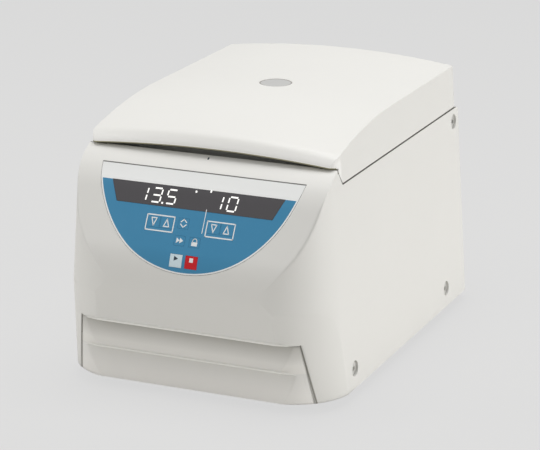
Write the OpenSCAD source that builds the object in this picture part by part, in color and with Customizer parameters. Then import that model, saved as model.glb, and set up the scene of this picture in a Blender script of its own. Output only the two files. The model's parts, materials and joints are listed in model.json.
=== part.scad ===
/* [Body] */
// Width over the foot of the housing
body_w = 243; // [220:1:270]
// Depth from the belly of the front to the rear wall
body_d = 356; // [330:1:390]
// Height of the lower edge of the housing above the bench
base_z = 9; // [7:1:12]
// Height of the line where the lid's skirts meet the housing
seam_z = 181; // [172:1:190]
// Inward lean of both flanks, in degrees
side_lean = 3.8; // [2:0.1:5]
// Plan radius of the two front corners
corner_r = 50; // [40:1:56]
// Plan radius of the two rear corners
rear_r = 12; // [8:1:20]
// Wall thickness of the plastic mouldings
wall = 3; // [2.5:0.1:4]

/* [Front] */
// Drop from the lid's seam to the foremost point of the front face
belly_drop = 81; // [76:1:86]
// Radius of the belly in side view
belly_r = 60; // [50:1:70]
// Lean of the control face from upright, in degrees
face_lean = 29; // [24:1:34]
// Undercut of the lower front, in degrees
under_lean = 9.6; // [6:0.2:12]
// Length of the flat part of the control face
face_flat = 44.5; // [38:0.5:50]
// Radius of the brow above the control face
brow_r = 62; // [54:1:70]
// Rise of the brow's front edge above the lid's seam
brow_rise = 14; // [12:0.5:16]
// Height of the top of the stepped intake
intake_top = 61; // [56:1:66]
// Height of the step half way down the intake
intake_mid = 36; // [32:1:40]
// Depth of each step
step_d = 5.5; // [4:0.5:7]

/* [Lid] */
// Height of the lid's crown above its seam
lid_h = 45; // [42:1:51]
// Radius of the crown across the lid
crown_r = 800; // [600:20:1200]
// Radius of the fall of the lid towards the front
fall_r = 487; // [420:1:560]
// Radius of the lid's front lip
nose_r = 14; // [10:1:16]
// Overhang of the lid's lip past the brow
lid_over = 4.05; // [3:0.05:5]
// Distance of the lid's rear face from the rear wall's outer face
lid_inset = 12; // [10:1:14]
// Height of the finger gap in the middle of the lip
finger_gap = 5.7; // [4:0.1:7]
// Diameter of the sight window
window_d = 28; // [20:1:34]

/* [Control panel] */
// Radius of the panel's round lower edge
panel_r = 91.3; // [80:0.1:96]
// Distance of the panel's straight top edge below the brow's edge
panel_drop = 10; // [8:1:12]
// Thickness of the panel film and its backing
film_t = 0.8; // [0.5:0.1:1.2]
// Width of the display at its top
display_w = 152; // [130:1:160]
// Travel of every key
key_travel = 0.4; // [0.2:0.1:0.6]
// Gap round every key
key_gap = 0.15; // [0.1:0.05:0.3]

/* [Rotor and chamber] */
// Distance from the striker back to the chamber
latch_room = 15; // [14:0.5:17]
// Diameter of a tube bore
tube_d = 11.2; // [10.8:0.1:11.6]
// Least wall between two tube mouths
tube_web = 3; // [2:0.25:5]
// Distance of the circle of tube mouths inside the rotor's edge
mouth_inset = 32.8; // [31:0.2:34]
// Gap between the rotor and the chamber
rotor_gap = 10; // [8:1:12]
// Depth of the rotor's seat below the lid's seam
rotor_drop = 57; // [54:1:60]
// Room between the chamber and the flank at its foot
bowl_room = 23.5; // [22.5:0.5:28]
// Thickness of the chamber's metal
bowl_t = 1.5; // [1:0.1:2]

/* [Hinge and latch] */
// Distance of the hinge axis from the rear wall's outer face
hinge_in = 6; // [5.5:0.25:6.5]
// Rise of the hinge axis above the lid's seam
hinge_rise = 3.5; // [3.3:0.1:4.5]
// Radius of the hinge pins
pin_r = 2.5; // [2:0.1:3]
// Distance of each hinge from the middle
hinge_x = 70; // [60:1:78]
// Distance of the striker behind the lid's lip
striker_in = 22; // [21:0.5:23]
// Turn of the latch hook when it is let go, in degrees
hook_turn = 50; // [46:1:54]

/* [Hidden] */
$fn = 96;

// Colours, as on the object
shell_white = [0.90, 0.89, 0.87];
panel_blue = [0.27, 0.50, 0.64];
display_grey = [0.30, 0.29, 0.31];
stop_red = [0.84, 0.08, 0.12];
steel = [0.74, 0.75, 0.76];
board_green = [0.12, 0.38, 0.22];
rubber = [0.10, 0.10, 0.10];

// Clearances
run_gap = 0.05;   // pin or shaft in its bore, on the radius
fix_gap = 0.03;   // screw or pressed piece in its hole, on the radius
seat_gap = 0.2;   // flat pieces that are let into a recess, all round

// Body
half_w = body_w / 2;
front_y = -body_d / 2;
rear_y = body_d / 2;
far = 400;
belly_z = seam_z - belly_drop;
brow_z = seam_z + brow_rise;
panel_top = brow_z - panel_drop;
split_z = belly_z - belly_r * sin(under_lean);   // the belly runs into the undercut here
corner_lean = under_lean + 0.3;                  // the corners stay just outside the undercut
belly_y = front_y + belly_r;
face_dir = [sin(face_lean), cos(face_lean)];     // up along the control face, as [y, z]
face_out = [-cos(face_lean), sin(face_lean)];
under_out = [-cos(under_lean), -sin(under_lean)];
belly_c = [belly_y, belly_z];
brow_c = belly_c + (belly_r - brow_r) * face_out + face_flat * face_dir;
flat_low = belly_z + belly_r * face_out[1];      // the flat of the control face begins here
flat_high = flat_low + face_flat * face_dir[1];
brow_y = brow_c[0] - sqrt(brow_r * brow_r - pow(brow_z - brow_c[1], 2));
tip_y = brow_y + 9.3;                            // foot of the slanted seam at the front
shoulder_r = 18;                                 // round over the top of the rear wall
deck_low = seam_z - wall;

// Lid
body_h = seam_z + lid_h;
lid_front = brow_y - lid_over;
lid_rear = rear_y - lid_inset;
fall_c = [0, body_h - fall_r];
nose_c = [lid_front + nose_r, fall_c[1] + sqrt(pow(fall_r - nose_r, 2) - pow(lid_front + nose_r, 2))];
lid_gap = 0.6;                                   // seam between the skirts and the housing
lip_side = brow_z + 0.5;
lip_mid = brow_z + finger_gap;
lip_r = (half_w * half_w * 0.78 + pow(lip_mid - lip_side, 2)) / (2 * (lip_mid - lip_side));
liner_z = seam_z + 3.5;
liner_t = 2.5;
liner_top = liner_z + liner_t;

// Screws on the flanks, as [y, z]
flank_screws = [[front_y + 74, base_z + 16.2], [rear_y - 59.3, base_z + 16.2], [rear_y - 22.3, seam_z - 12]];
screw_boss_r = 8.5;
tab_x = flank(base_z + 34) - 7.4;                // outer face of the base's upright tabs
tab_t = 2.4;
head_r = 5.4;
head_pocket_r = 6.6;
shank_r = 2;

// Keys, as [x, height above the belly's foremost point, width, height]
start_at = [-6.6, 21.4, 10.6, 10.4];
stop_at = [6.8, 21.4, 10.6, 10.4];
pulse_at = [-6.6, 36, 9, 8];
open_at = [6.6, 36, 9, 8];
speed_down_at = [-32.4, 47.6, 11, 9.6];
speed_up_at = [-20.6, 47.6, 11, 9.6];
mode_at = [-6, 48.4, 9, 8.4];
time_down_at = [20.3, 47.8, 11, 9.6];
time_up_at = [32.1, 47.8, 11, 9.6];
keys = [start_at, stop_at, pulse_at, open_at, speed_down_at, speed_up_at, mode_at, time_down_at,
        time_up_at];
key_t = 4;                                       // length of a key from the face to its foot
key_sink = 0.05;                                 // a key's face below the housing's outline
film_sink = 0.1;                                 // the film's face below the housing's outline
board_depth = 12;                                // control board below the face
board_t = 1.6;
keys_mid = 40;                                   // middle of that board above the belly's foremost point

// Display
panel_back = front_y + 50;                       // the cuts for the panel end here, ahead of the deck
display_top = belly_z + 73.8;
display_low = display_top - 15.3;
display_taper = 15.4;                            // loss of width from its top to its bottom
display_t = 1.6;
display_mid_z = (display_low + display_top) / 2 - 0.4;
digits_deep = 4;                                 // front of the digit blocks below the face
digits_t = 7;

// Rotor and drive
rotor_z = seam_z - rotor_drop;
bowl_r = half_w - bowl_room;
striker_y = lid_front + striker_in;
axis_y = striker_y + latch_room + bowl_r;
rotor_r = bowl_r - rotor_gap;
mouth_r = rotor_r - mouth_inset;
mouth_z = rotor_z + 37.8;
tube_count = floor(2 * PI * mouth_r / (tube_d + tube_web));
shaft_r = 5;
stud_r = 3;
motor_r = 44;
motor_top = rotor_z - 20;
motor_low = base_z + 33;
flange_r = 60;
flange_t = 3;
neck_r = 14;
neck_top = rotor_z - 5;
bearing_r = 11;
bearing_t = 8;
mount_r = 7;
mount_ring = 52;
mount_h = 12;
bracket_t = 3;
base_t = 2;
bowl_floor = rotor_z - 8;
shaft_low = motor_low - 20;

// Hinge and latch
hinge_y = rear_y - hinge_in;
hinge_z = seam_z + hinge_rise;
knuckle_r = 5;
ear_t = 4;
arm_w = 14;
ear_in = hinge_x - arm_w / 2 - 0.3;
ear_out = hinge_x + arm_w / 2 + 0.3;
hook_y = striker_y - 7;
hook_z = seam_z - 21;
cheek_low = hook_z - 12;                         // lower edge of the latch's cheeks

// Rear
inlet_x = -48;
inlet_z = base_z + 31;
socket_z = inlet_z + 3;
socket_deep = 16;
switch_z = base_z + 65;
panel_in = rear_y - wall;                        // inner face of the rear wall
rear_open = [156, 76];
rear_mid_z = base_z + 47;

feet_x = half_w - 33.5;
feet = [for (x = [-feet_x, feet_x]) for (y = [front_y + 60, rear_y - 38]) [x, y]];

// Intake
intake_w = half_w - 24.5;                        // half width of the intake at its top
intake_back = front_y + 68;                      // rear end of the grille's side walls
slot_pitch = 12;
slots = floor((half_w - 45) / slot_pitch);       // air slots on each side of the middle one

// Power board
power_half = half_w - 26.5;
power_front = front_y + 32;
power_deep = 84;
power_z = base_z + 11;

// Release plug in the left flank, as [y, z]
plug_at = [front_y + 118, base_z + 23];
plug_r = 6;

// Point of the control face at height z, as [y, z], and its lean there
function face_angle(z) = z < flat_low ? asin((z - belly_z) / belly_r)
                       : z <= flat_high ? face_lean : asin((z - brow_c[1]) / brow_r);
function face_y(z) = z < flat_low ? belly_y - belly_r * cos(face_angle(z))
                   : z <= flat_high ? belly_y - belly_r * cos(face_lean) + (z - flat_low) * tan(face_lean)
                   : brow_c[0] - brow_r * cos(face_angle(z));
// Half width of the body at height z
function flank(z) = half_w - (z - base_z) * tan(side_lean);

// Moves to the control face at x, z, with +Z out of the face and +Y up along it
module on_face(x, z) {
    translate([x, face_y(z), z]) rotate([90 - face_angle(z), 0, 0]) children();
}

// Turns a side view, drawn as [y, z], into a block across the body
module across(w = far) {
    rotate([90, 0, 90]) linear_extrude(w, center = true) children();
}

// Turns a front view, drawn as [x, z], into a block from y0 to y1
module through(y0, y1) {
    translate([0, y1, 0]) rotate([90, 0, 0]) linear_extrude(y1 - y0) children();
}

// Right half of a column between y0 and y1, out to x = 0, with round outer corners
module half_column(h, y0, y1, r0, r1) {
    translate([-far, y0 + r0, 0]) cube([far, y1 - y0 - r0 - r1, h]);
    translate([-far, y0, 0]) cube([far - r0, y1 - y0 - r1, h]);
    translate([-far, y0 + r0, 0]) cube([far - r1, y1 - y0 - r0, h]);
    translate([-r0, y0 + r0, 0]) cylinder(r = r0, h = h);
    translate([-r1, y1 - r1, 0]) cylinder(r = r1, h = h);
}

// Upright column with one leaning flank, for the right (s = 1) or the left (s = -1)
module flank_column(s, inset, y0, y1, r0, r1) {
    mirror([s > 0 ? 0 : 1, 0, 0])
        translate([half_w, 0, base_z]) rotate([0, -side_lean, 0])
            translate([-inset / cos(side_lean), 0, -60])
                half_column(320, y0 + inset, y1 - inset, r0 - inset, r1 - inset);
}

// Column whose front corner leans back below the belly, clear of the upright one above it
module undercut_column(s, inset) {
    mirror([s > 0 ? 0 : 1, 0, 0])
        translate([half_w, 0, base_z]) rotate([0, -side_lean, 0]) translate([0, front_y, split_z - base_z])
            rotate([corner_lean, 0, 0]) translate([(1 - inset) / cos(side_lean), 0, -150])
                half_column(400, inset / cos(corner_lean), far * 2, corner_r + 1 - inset, 10);
}

// Side view of the housing: undercut, belly, control face, brow, deck and rear shoulder
module housing_side(inset, low) {
    belly = belly_r - inset;
    brow = brow_r - inset;
    under = belly_c + belly * under_out;
    seam_k = (tip_y - brow_y) / (brow_z - seam_z);
    seam_shift = inset * sqrt(1 + seam_k * seam_k);
    top = seam_z - inset;
    rear = rear_y - shoulder_r;
    intersection() {
        union() {
            across() polygon([[under[0] + (under[1] - low) * tan(under_lean), low], under, belly_c,
                              belly_c + belly * face_out, brow_c + brow * face_out, brow_c + [0, brow],
                              [rear, brow_c[1] + brow], [rear, low]]);
            across() translate(belly_c) circle(belly);
            across() translate(brow_c) circle(brow);
            across() translate([rear - 1, low]) square([shoulder_r + 1 - inset, seam_z - shoulder_r - low]);
            across() translate([rear, seam_z - shoulder_r]) circle(shoulder_r - inset);
        }
        across() polygon([[-far, low], [-far, brow_z - inset],
                          [brow_y + inset * seam_k - seam_shift, brow_z - inset],
                          [tip_y + inset * seam_k - seam_shift, top], [far, top], [far, low]]);
    }
}

// The housing as a solid block, drawn in by inset and open downwards to low
module housing_block(inset, low) {
    intersection() {
        flank_column(1, inset, front_y, rear_y, corner_r, rear_r);
        flank_column(-1, inset, front_y, rear_y, corner_r, rear_r);
        undercut_column(1, inset);
        undercut_column(-1, inset);
        housing_side(inset, low);
    }
}

// Front view of the opening for the stepped intake
module intake_outline(gap) {
    foot = intake_w + 9;
    polygon([[-intake_w + gap, intake_top - gap], [intake_w - gap, intake_top - gap],
             [foot - gap, base_z - 10], [-foot + gap, base_z - 10]]);
}

// Front view of the control panel, its round lower edge drawn in short chords
module panel_outline(gap) {
    centre = panel_top + 17.5;
    r = panel_r - gap;
    start = 180 + asin((17.5 + gap) / r);
    turn = (540 - 2 * start) / 32;
    polygon([for (i = [0 : 32]) [r * cos(start + i * turn), centre + r * sin(start + i * turn)]]);
}

// Front view of the display
module display_outline(gap) {
    low = display_w / 2 - display_taper / 2;
    polygon([[-display_w / 2 + gap, display_top - gap], [display_w / 2 - gap, display_top - gap],
             [low - gap, display_low + gap], [-low + gap, display_low + gap]]);
}

// Front views of what is cut through for the keys, straight in along the face
module key_cuts(gap, out, deep) {
    for (k = keys)
        on_face(k[0], belly_z + k[1]) translate([-k[2] / 2 - gap, -k[3] / 2 - gap, -deep])
            cube([k[2] + 2 * gap, k[3] + 2 * gap, deep + out]);
}

module screw_row(rows) {
    for (s = [-1, 1]) for (p = rows) mirror([s > 0 ? 0 : 1, 0, 0]) translate([flank(p[1]), p[0], p[1]])
        rotate([0, -90, 0]) children();
}

// One-piece moulded housing with the deck round the chamber
module housing() {
    color(shell_white) difference() {
        union() {
            difference() {
                housing_block(0, base_z);
                housing_block(wall, base_z - 20);
            }
            screw_row(flank_screws) translate([0, 0, wall / 2]) cylinder(r = screw_boss_r, h = 7);
            translate([wall / 2 - flank(plug_at[1]), plug_at[0], plug_at[1]]) rotate([0, 90, 0])
                cylinder(r = plug_r + 4, h = 15);
        }
        // chamber, striker slot and hinge ears through the deck
        translate([0, axis_y, deck_low - 5]) cylinder(r = bowl_r + bowl_t + 0.5, h = 30);
        translate([-11, striker_y - 3, deck_low - 5]) cube([22, 7, 20]);
        for (s = [-1, 1]) for (x = [ear_in, ear_out + ear_t])
            translate([s * x - (s > 0 ? ear_t : 0) - 0.3, rear_y - 21, deck_low - 14])
                cube([ear_t + 0.6, 30, 30]);
        // pockets and holes of the flank screws
        screw_row(flank_screws) {
            translate([0, 0, -10]) cylinder(r = head_pocket_r, h = 14);
            cylinder(r = shank_r + fix_gap, h = 30);
        }
        // intake and release plug
        through(front_y - 10, front_y + 40) intake_outline(0);
        translate([-half_w - 10, plug_at[0], plug_at[1]]) rotate([0, 90, 0])
            cylinder(r = plug_r + run_gap, h = 60);
        // panel recess, display and keys
        difference() {
            through(front_y - 10, panel_back) panel_outline(-seat_gap / 2);
            housing_side(film_t + film_sink, base_z - 20);
        }
        difference() {
            through(front_y - 10, panel_back) display_outline(-seat_gap / 2);
            housing_side(display_t + film_sink, base_z - 20);
        }
        through(front_y - 10, panel_back) display_outline(3);
        key_cuts(key_gap, 3, 12);
        // rear opening and the counterbores of its screws
        translate([-rear_open[0] / 2, panel_in - 10, rear_mid_z - rear_open[1] / 2])
            cube([rear_open[0], 30, rear_open[1]]);
        for (p = rear_screw_at()) translate([p[0], rear_y + 1, p[1]]) rotate([90, 0, 0]) {
            cylinder(r = 3.7, h = 3);
            cylinder(r = 1.5 + fix_gap, h = 20);
        }
    }
}

function rear_screw_at() = [for (s = [-1, 1]) for (k = [-1, 1])
    [s * (rear_open[0] / 2 + 4), rear_mid_z + k * (rear_open[1] / 2 - 2)]];

// Undercut face of the housing at height z
function lip_y(z) = belly_y - belly_r * cos(under_lean) + (split_z - z) * tan(under_lean);

// Stepped air intake under the belly
module front_grille() {
    back = 3.2;
    color(shell_white) intersection() {
        difference() {
            intersection() {
                housing_block(0.4, base_z);
                across() polygon([[lip_y(intake_top) + step_d, intake_top + 4],
                                  [lip_y(intake_top) + step_d, intake_top - 1],
                                  [lip_y(intake_mid) + 0.4, intake_mid + 3],
                                  [lip_y(intake_mid) + 0.4, intake_mid],
                                  [lip_y(intake_mid) + step_d, intake_mid - 1],
                                  [lip_y(base_z) + 0.4, base_z + 3], [lip_y(base_z) + 0.4, base_z],
                                  [intake_back, base_z], [intake_back, intake_top + 4]]);
            }
            intersection() {
                housing_block(0.4 + back, base_z - 20);
                across() polygon([[lip_y(intake_top) + step_d + back, intake_top + 10],
                                  [lip_y(intake_mid) + step_d + back, intake_mid],
                                  [lip_y(intake_mid) + step_d + back, base_z - 15],
                                  [0, base_z - 15], [0, intake_top + 10]]);
            }
            // air slots behind the middle step's lip
            for (i = [-slots : slots]) translate([i * slot_pitch - 4, front_y, intake_mid - 3])
                cube([8, 13.5, 2.2]);
        }
        through(front_y - 10, intake_back) intake_outline(0.3);
    }
}

// Pan-head screw along +Z, with its head below z = 0
module pan_screw(shank, head, head_h, len) {
    difference() {
        union() {
            translate([0, 0, -head_h]) cylinder(r = head, h = head_h);
            cylinder(r = shank, h = len);
        }
        translate([0, 0, -head_h - 1]) cylinder(r = head * 0.42, h = head_h * 0.5 + 1, $fn = 6);
    }
}

module side_screws() {
    color(steel) screw_row(flank_screws) translate([0, 0, 4]) pan_screw(shank_r, head_r, 2.6, 9);
}

// Sheet-steel tray that closes the housing from below
module base_plate() {
    edge = wall + 0.4;
    color(steel) difference() {
        union() {
            intersection() {
                housing_block(edge, base_z - 10);
                translate([-far / 2, power_front, base_z]) cube([far, far, base_t]);
            }
            for (s = [-1, 1]) for (p = [flank_screws[0], flank_screws[1]])
                translate([s * tab_x - (s > 0 ? tab_t : 0), p[0] - 9, base_z]) cube([tab_t, 18, 26]);
        }
        for (p = feet) translate([p[0], p[1], 0]) cylinder(r = 2 + fix_gap, h = 40);
        screw_row([flank_screws[0], flank_screws[1]]) cylinder(r = shank_r + fix_gap, h = 30);
        for (i = [-3 : 3]) for (y = [60, 84]) translate([i * 14 - 4, axis_y + y, 0]) cube([8, 18, 40]);
    }
}

module rubber_feet() {
    color(rubber) for (p = feet) translate([p[0], p[1], 0]) rotate_extrude()
        polygon([[5.5, 0], [9, 0], [10, 1], [11, base_z], [2 + fix_gap, base_z], [2 + fix_gap, 4], [5.5, 4]]);
}

module foot_screws() {
    color(steel) for (p = feet) translate([p[0], p[1], 4]) {
        pan_screw(2, 3.8, 2.4, 11);
        translate([0, 0, base_z + base_t - 4]) difference() {
            cylinder(r = 4, h = 3, $fn = 6);
            translate([0, 0, -1]) cylinder(r = 1.9, h = 5);
        }
    }
}

// Printed film let into the control face, with holes for the display and the keys
module panel_overlay() {
    color(panel_blue) difference() {
        intersection() {
            housing_block(film_sink, base_z);
            through(front_y - 10, panel_back) panel_outline(seat_gap / 2);
        }
        housing_side(film_t + film_sink, base_z - 20);
        through(front_y - 10, panel_back) display_outline(-seat_gap / 2);
        key_cuts(key_gap, 3, 12);
    }
}

module display_window() {
    color(display_grey) difference() {
        intersection() {
            housing_block(film_sink, base_z);
            through(front_y - 10, panel_back) display_outline(seat_gap / 2);
        }
        housing_side(display_t + film_sink, base_z - 20);
    }
}

module digit_modules() {
    color([0.16, 0.15, 0.16]) on_face(0, display_mid_z) {
        translate([-50, -7.5, -digits_deep - digits_t]) cube([37, 15, digits_t]);
        translate([13, -7.5, -digits_deep - digits_t]) cube([28, 15, digits_t]);
    }
}

module display_board() {
    color(board_green) on_face(0, display_mid_z)
        translate([-68, -9, -digits_deep - digits_t - board_t]) cube([136, 18, board_t]);
}

// Depth of a switch's foot: the board is flat and the face bends away from it below
function switch_foot(k) = board_depth - (belly_z + k[1] < flat_low ? 0.95 : 0.15);

// Board behind the keys, with one push switch under each
module control_board() {
    color(board_green) on_face(0, belly_z + keys_mid) {
        translate([-48, -22, -board_depth - board_t]) cube([96, 39, board_t]);
        for (x = [-44, 44]) translate([x, 13, -board_depth]) cylinder(r = 2.5, h = board_depth - wall);
    }
}

module key_switches() {
    color([0.2, 0.2, 0.2]) for (k = keys) on_face(k[0], belly_z + k[1])
        translate([-2.5, -2.5, -switch_foot(k)])
            cube([5, 5, switch_foot(k) - key_t - key_travel - 0.15]);
}

// One key, its face following the curve of the front
module key(k, c) {
    color(c) intersection() {
        on_face(k[0], belly_z + k[1]) translate([-k[2] / 2, -k[3] / 2, -key_t]) cube([k[2], k[3], key_t + 3]);
        housing_side(key_sink, base_z);
    }
}

module start_key() { key(start_at, [0.88, 0.95, 0.97]); }
module stop_key() { key(stop_at, stop_red); }
module pulse_key() { key(pulse_at, panel_blue); }
module open_key() { key(open_at, panel_blue); }
module speed_down_key() { key(speed_down_at, panel_blue); }
module speed_up_key() { key(speed_up_at, panel_blue); }
module mode_key() { key(mode_at, panel_blue); }
module time_down_key() { key(time_down_at, panel_blue); }
module time_up_key() { key(time_up_at, panel_blue); }

module on_axis(z = 0) {
    translate([0, axis_y, z]) children();
}

// Spun chamber that hangs by its rim on the deck
module rotor_bowl() {
    out = bowl_r + bowl_t;
    slope = 9;
    color(steel) on_axis() rotate_extrude()
        polygon([[18, bowl_floor], [out - slope, bowl_floor], [out, bowl_floor + slope], [out, seam_z],
                 [out + 5.5, seam_z], [out + 5.5, seam_z + bowl_t], [bowl_r, seam_z + bowl_t],
                 [bowl_r, bowl_floor + slope + 0.6], [out - slope - 0.6, bowl_floor + bowl_t],
                 [18, bowl_floor + bowl_t]]);
}

module bowl_seal() {
    color(rubber) on_axis() rotate_extrude()
        polygon([[neck_r + 0.05, bowl_floor - 5], [21, bowl_floor - 5], [21, bowl_floor - 0.1],
                 [17.9, bowl_floor - 0.1],
                 [17.9, bowl_floor + bowl_t + 0.5], [neck_r + 0.05, bowl_floor + bowl_t + 0.5]]);
}

module motor_body() {
    color([0.32, 0.33, 0.35]) on_axis() difference() {
        union() {
            translate([0, 0, motor_low]) cylinder(r = motor_r, h = motor_top - motor_low);
            translate([0, 0, motor_top]) cylinder(r = flange_r, h = flange_t);
            cylinder_between(neck_r, motor_top, neck_top);
        }
        cylinder_between(shaft_r + 1, motor_low - 1, neck_top + 1);
        cylinder_between(bearing_r + fix_gap, motor_low - 1, motor_low + 2 + bearing_t);
        cylinder_between(bearing_r + fix_gap, neck_top - 2 - bearing_t, neck_top + 1);
        // ring of cooling slots in the lower end
        for (a = [0 : 30 : 330]) rotate([0, 0, a]) translate([22, -3, motor_low - 1]) cube([16, 6, 7]);
    }
}

module cylinder_between(r, z0, z1) {
    translate([0, 0, z0]) cylinder(r = r, h = z1 - z0);
}

module motor_bearings() {
    color(steel) on_axis() for (z = [motor_low + 2, neck_top - 2 - bearing_t]) difference() {
        cylinder_between(bearing_r, z, z + bearing_t);
        cylinder_between(shaft_r + run_gap, z - 1, z + bearing_t + 1);
    }
}

module mount_ring_at(angles, r) {
    for (a = angles) rotate([0, 0, a]) translate([r, 0, 0]) children();
}

module motor_mounts() {
    color(rubber) on_axis(motor_top - mount_h) mount_ring_at([30, 150, 270], mount_ring) difference() {
        cylinder(r = mount_r, h = mount_h);
        translate([0, 0, -1]) cylinder(r = 2, h = mount_h + 2);
    }
}

// Ring that carries the motor on its mounts, with three legs down to the base
module motor_bracket() {
    top = motor_top - mount_h;
    color(steel) on_axis() {
        difference() {
            union() {
                cylinder_between(flange_r + 6, top - bracket_t, top);
                mount_ring_at([90, 210, 330], flange_r - 1)
                    cylinder_between(5, base_z + base_t, top - bracket_t);
            }
            cylinder_between(motor_r + 2, top - bracket_t - 1, top + 1);
            mount_ring_at([30, 150, 270], mount_ring) cylinder_between(2, top - 10, top + 1);
        }
    }
}

module motor_shaft() {
    color(steel) on_axis() rotate_extrude()
        polygon([[0, shaft_low], [shaft_r, shaft_low], [shaft_r, neck_top + 1], [9, neck_top + 1],
                 [9, rotor_z],
                 [shaft_r, rotor_z], [shaft_r, rotor_z + 33.5], [stud_r, rotor_z + 33.5],
                 [stud_r, rotor_z + 45], [0, rotor_z + 45]]);
}

// Fixed-angle rotor with a ring of tube bores at 45 degrees
module rotor() {
    bore_r = tube_d / 2;
    color([0.62, 0.64, 0.66]) on_axis() difference() {
        rotate_extrude()
            polygon([for (p = [[shaft_r + run_gap, 0], [20, 0], [20, 6], [mouth_r - 21.2, 12],
                               [rotor_r - 30, 5], [rotor_r - 10, 3], [rotor_r, 10], [rotor_r, 30],
                               [rotor_r - 16, 46.5], [mouth_r + 8.8, 46.5], [mouth_r - 8.7, 29],
                               [mouth_r - 15.2, 25], [22, 25], [20, 27], [20, 34], [shaft_r + run_gap, 34]])
                     [p[0], rotor_z + p[1]]]);
        for (i = [0 : tube_count - 1]) rotate([0, 0, i * 360 / tube_count])
            translate([mouth_r, 0, mouth_z]) rotate([0, 135, 0]) {
                translate([0, 0, -8]) cylinder(r = bore_r, h = 41);
                translate([0, 0, 33]) cylinder(r1 = bore_r, r2 = 1.6, h = 5);
            }
    }
}

module rotor_nut() {
    low = rotor_z + 34;
    color([0.16, 0.16, 0.17]) on_axis() difference() {
        union() {
            cylinder_between(14, low, low + 3);
            cylinder_between(10, low + 3, low + 13);
            for (a = [0 : 45 : 315]) rotate([0, 0, a]) translate([10, 0, 0])
                cylinder_between(1.6, low + 3, low + 12);
        }
        cylinder_between(stud_r + run_gap, low - 1, low + 11.5);
    }
}

module shaft_fan() {
    color([0.2, 0.2, 0.2]) on_axis() difference() {
        union() {
            cylinder_between(9, shaft_low, shaft_low + 16);
            for (a = [0 : 40 : 320]) rotate([0, 0, a]) translate([8, -1, shaft_low + 2]) cube([30, 2, 12]);
            difference() {
                cylinder_between(38.6, shaft_low + 14, shaft_low + 15.5);
                cylinder_between(24, shaft_low + 13, shaft_low + 17);
            }
        }
        cylinder_between(shaft_r + fix_gap, shaft_low - 2, shaft_low + 18);
    }
}

module power_board() {
    color(board_green) {
        translate([-power_half, power_front, power_z]) cube([2 * power_half, power_deep, board_t]);
        for (s = [-1, 1]) for (y = [6, power_deep - 6])
            translate([s * (power_half - 5), power_front + y, base_z + base_t])
                cylinder(r = 3, h = power_z - base_z - base_t);
    }
}

module board_parts() {
    color([0.15, 0.16, 0.2]) translate([0, power_front, power_z + board_t]) {
        for (x = [25, 49]) translate([x - power_half, 26, 0]) cylinder(r = 10, h = 34);
        translate([-20, 10, 0]) cube([38, 34, 28]);
        translate([11 - power_half, 54, 0]) cube([30, 18, 16]);
        translate([-40, 58, 0]) cube([60, 16, 10]);
    }
}

module heat_sink() {
    color(steel) translate([power_half - 61, power_front + 10, power_z + board_t]) {
        cube([52, 56, 4]);
        for (i = [0 : 8]) translate([i * 6.2, 0, 3.9]) cube([1.8, 56, 22]);
    }
}

// Latch: two cheeks under the deck with the hook between them
module latch_frame() {
    color(steel) difference() {
        union() {
            for (s = [-1, 1]) translate([s * 13 - 1, hook_y - 12, cheek_low])
                cube([2, 22, deck_low - cheek_low]);
            for (x = [-24, 12]) translate([x, hook_y - 12, deck_low - 2]) cube([12, 22, 2]);
            translate([-13, hook_y - 12, cheek_low]) cube([26, 2, 20]);
        }
        translate([-30, hook_y, hook_z]) rotate([0, 90, 0]) cylinder(r = pin_r + fix_gap, h = 60);
    }
}

module latch_pin() {
    color(steel) translate([-15, hook_y, hook_z]) rotate([0, 90, 0]) cylinder(r = pin_r, h = 30);
}

module latch_hook() {
    color([0.25, 0.26, 0.28]) translate([0, hook_y, hook_z]) rotate([hook_turn, 0, 0]) difference() {
        union() {
            translate([-4, 0, 0]) rotate([0, 90, 0]) cylinder(r = 5, h = 8);
            across(8) polygon([[-3, 0], [-2, 8.5], [10, 8.5], [11.5, 5.5], [4, 5], [4.5, 0]]);
            across(8) polygon([[-3, 0], [-2.5, -8.5], [0.5, -8.5], [3, 0]]);
        }
        translate([-10, 0, 0]) rotate([0, 90, 0]) cylinder(r = pin_r + run_gap, h = 20);
    }
}

module latch_solenoid() {
    color([0.35, 0.33, 0.3]) {
        translate([-11, hook_y - 28, cheek_low - 1]) cube([22, 16, 14]);
        translate([-7, hook_y - 24, cheek_low - 5]) cube([14, 8, 4]);
    }
}

// Pull-out plug for letting the latch go by hand when there is no power
module release_plug() {
    color(shell_white) translate([0.6 - flank(plug_at[1]), plug_at[0], plug_at[1]]) rotate([0, 90, 0])
        cylinder(r = plug_r, h = 15);
}

// Cross bar inside the rear with the ears of the two hinges
module hinge_frame() {
    bar_y = rear_y - wall - 24;
    bar_z = seam_z - 21;
    half = flank(flank_screws[2][1]) - 8.6;
    color(steel) difference() {
        union() {
            translate([-half, bar_y, bar_z]) cube([2 * half, 12, 3]);
            for (s = [-1, 1]) translate([s * half - (s > 0 ? 3 : 0), bar_y - 2, bar_z]) cube([3, 16, 15]);
            for (s = [-1, 1]) for (x = [ear_in, ear_out + ear_t])
                translate([s * x - (s > 0 ? ear_t : 0) + ear_t / 2, 0, 0]) across(ear_t) {
                    polygon([[bar_y + 7, bar_z], [rear_y - wall - 6, bar_z],
                             [rear_y - wall - 6, hinge_z - 6], [hinge_y + knuckle_r, hinge_z],
                             [hinge_y - knuckle_r, hinge_z], [hinge_y - knuckle_r, seam_z - 1],
                             [bar_y + 8, bar_z + 13]]);
                    translate([hinge_y, hinge_z]) circle(knuckle_r);
                }
        }
        for (s = [-1, 1]) translate([s * hinge_x, hinge_y, hinge_z]) rotate([0, 90, 0])
            cylinder(r = pin_r + fix_gap, h = 60, center = true);
        screw_row([flank_screws[2]]) cylinder(r = shank_r + fix_gap, h = 30);
    }
}

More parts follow.
